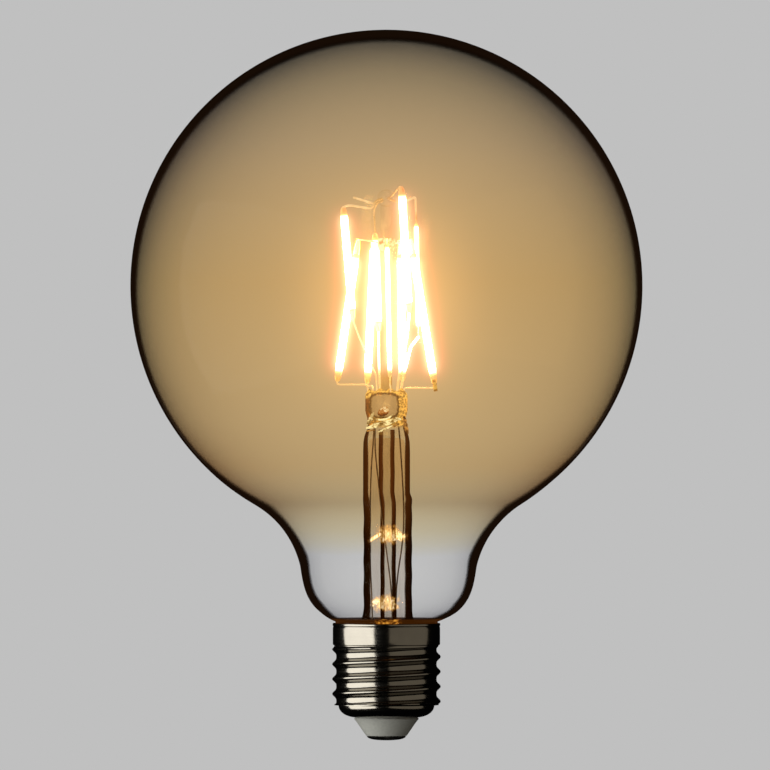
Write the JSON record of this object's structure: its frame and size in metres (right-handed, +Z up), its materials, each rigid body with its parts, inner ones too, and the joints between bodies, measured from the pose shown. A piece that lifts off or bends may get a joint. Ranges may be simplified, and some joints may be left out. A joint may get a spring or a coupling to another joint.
{
  "type": "smart light bulb",
  "caption": "Large globe filament-style LED bulb with a gold-tinted glass envelope, glass stem, glowing filaments and an E27 screw cap with a radio driver inside.",
  "frame": {"origin": "centre of the flat underside of the centre contact, at the tip of the screw cap", "axes": "+Z up the bulb's axis from the contact to the top of the globe; +X to the viewer's right and +Y away from the viewer in the front view"},
  "size_m": [0.125, 0.125, 0.1734],
  "materials": {
    "amber_glass": "thin blown glass, gold-tinted over the globe and fading to clear at the neck, polished",
    "clear_glass": "clear flame-worked glass, polished and slightly wavy",
    "phosphor": "lit filament strip, yellow phosphor resin over a ceramic substrate",
    "nickel_wire": "drawn nickel-plated wire",
    "black_nickel": "rolled brass with a bright black nickel plate",
    "insulator_ceramic": "satin light grey",
    "contact_metal": "dark nickel plate, slightly scuffed",
    "cement": "matt capping cement",
    "circuit_board": "green solder mask over glass-fibre board",
    "moulded_black": "moulded black epoxy",
    "resistor_body": "lacquered blue",
    "capacitor_sleeve": "aluminium can in a black sleeve",
    "copper": "bare copper",
    "tinned_steel": "tinned sheet",
    "sleeve_plastic": "off-white moulded plastic"
  },
  "bodies": {
    "root": {"board_sleeve": "sleeve_plastic", "bridge_rectifier": "moulded_black", "bulk_capacitor": "capacitor_sleeve", "cap_cement": "cement", "centre_contact": "contact_metal", "centre_post": "clear_glass", "contact_wire": "copper", "driver_board": "circuit_board", "driver_chip": "moulded_black", "exhaust_tube": "clear_glass", "filament_lower_1": "phosphor", "filament_lower_2": "phosphor", "filament_lower_3": "phosphor", "filament_lower_4": "phosphor", "filament_lower_5": "phosphor", "filament_upper_1": "phosphor", "filament_upper_2": "phosphor", "filament_upper_3": "phosphor", "filament_upper_4": "phosphor", "fuse_resistor": "resistor_body", "glass_globe": "amber_glass", "inductor": "copper", "insulator": "insulator_ceramic", "lead_wire_1": "nickel_wire", "lead_wire_2": "nickel_wire", "lead_wire_3": "nickel_wire", "middle_bead": "clear_glass", "middle_support_wire_1": "nickel_wire", "middle_support_wire_2": "nickel_wire", "middle_support_wire_3": "nickel_wire", "middle_support_wire_4": "nickel_wire", "middle_support_wire_5": "nickel_wire", "press_wire_1": "nickel_wire", "press_wire_2": "nickel_wire", "press_wire_3": "nickel_wire", "press_wire_4": "nickel_wire", "press_wire_5": "nickel_wire", "radio_antenna": "copper", "radio_chip": "moulded_black", "radio_module_board": "circuit_board", "radio_shield": "tinned_steel", "return_wire_1": "nickel_wire", "return_wire_2": "nickel_wire", "return_wire_3": "nickel_wire", "return_wire_4": "nickel_wire", "screw_shell": "black_nickel", "shell_wire": "copper", "stem_tube": "clear_glass", "top_bead": "clear_glass", "top_support_wire_1": "nickel_wire", "top_support_wire_2": "nickel_wire", "top_support_wire_3": "nickel_wire", "top_support_wire_4": "nickel_wire", "top_support_wire_5": "nickel_wire"}
  },
  "joints": []
}
